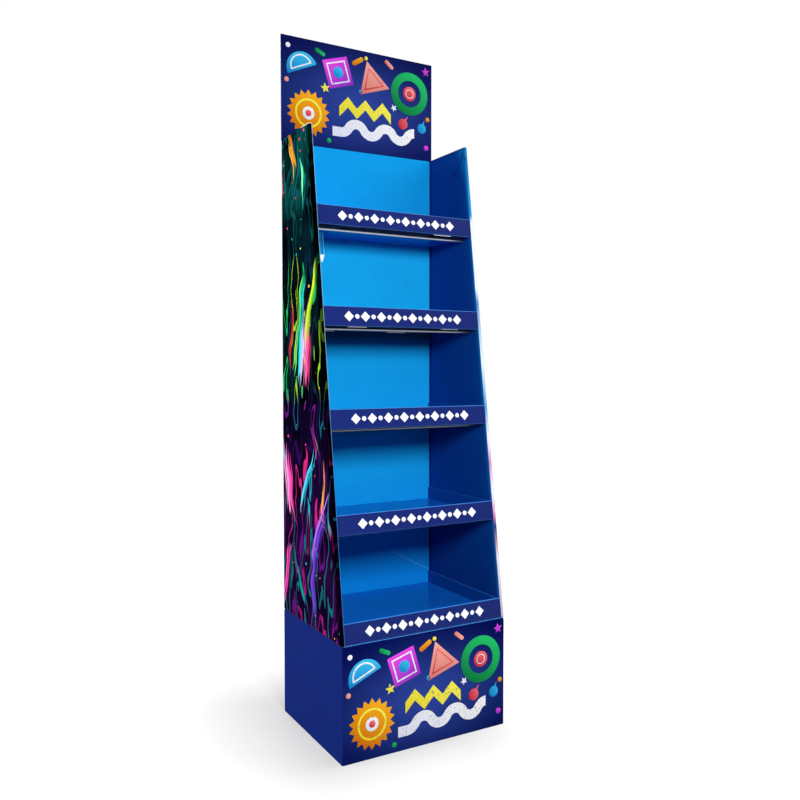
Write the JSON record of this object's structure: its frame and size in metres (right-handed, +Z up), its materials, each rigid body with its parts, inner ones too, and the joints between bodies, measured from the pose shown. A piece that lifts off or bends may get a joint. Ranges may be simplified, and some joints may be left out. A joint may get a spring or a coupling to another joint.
{
  "type": "cardboard display stand",
  "caption": "Tapered floor-standing cardboard display with lipped shelf trays on steel bars, double side walls, a box base and a header card.",
  "frame": {"origin": "on the floor, under the middle of the bounding box", "axes": "+Z up, +X to the right as seen from the front, the shelves open towards -Y"},
  "size_m": [0.434, 0.3428, 1.68],
  "materials": {
    "navy_print_board": "printed, satin varnish",
    "side_print_board": "printed, satin varnish",
    "blue_tray_board": "printed, satin varnish",
    "brown_board": "plain, matt",
    "steel_tube": "drawn, zinc plated"
  },
  "bodies": {
    "root": {"base_plinth": "navy_print_board", "base_rib_across": "brown_board", "base_rib_left": "brown_board", "base_rib_right": "brown_board", "body_wrap": "side_print_board", "header_card": "navy_print_board", "shelf_tray_1": "blue_tray_board", "shelf_tray_2": "blue_tray_board", "shelf_tray_3": "blue_tray_board", "shelf_tray_4": "blue_tray_board", "shelf_tray_5": "blue_tray_board", "support_bar_2": "steel_tube", "support_bar_3": "steel_tube", "support_bar_4": "steel_tube", "support_bar_5": "steel_tube"}
  },
  "joints": []
}
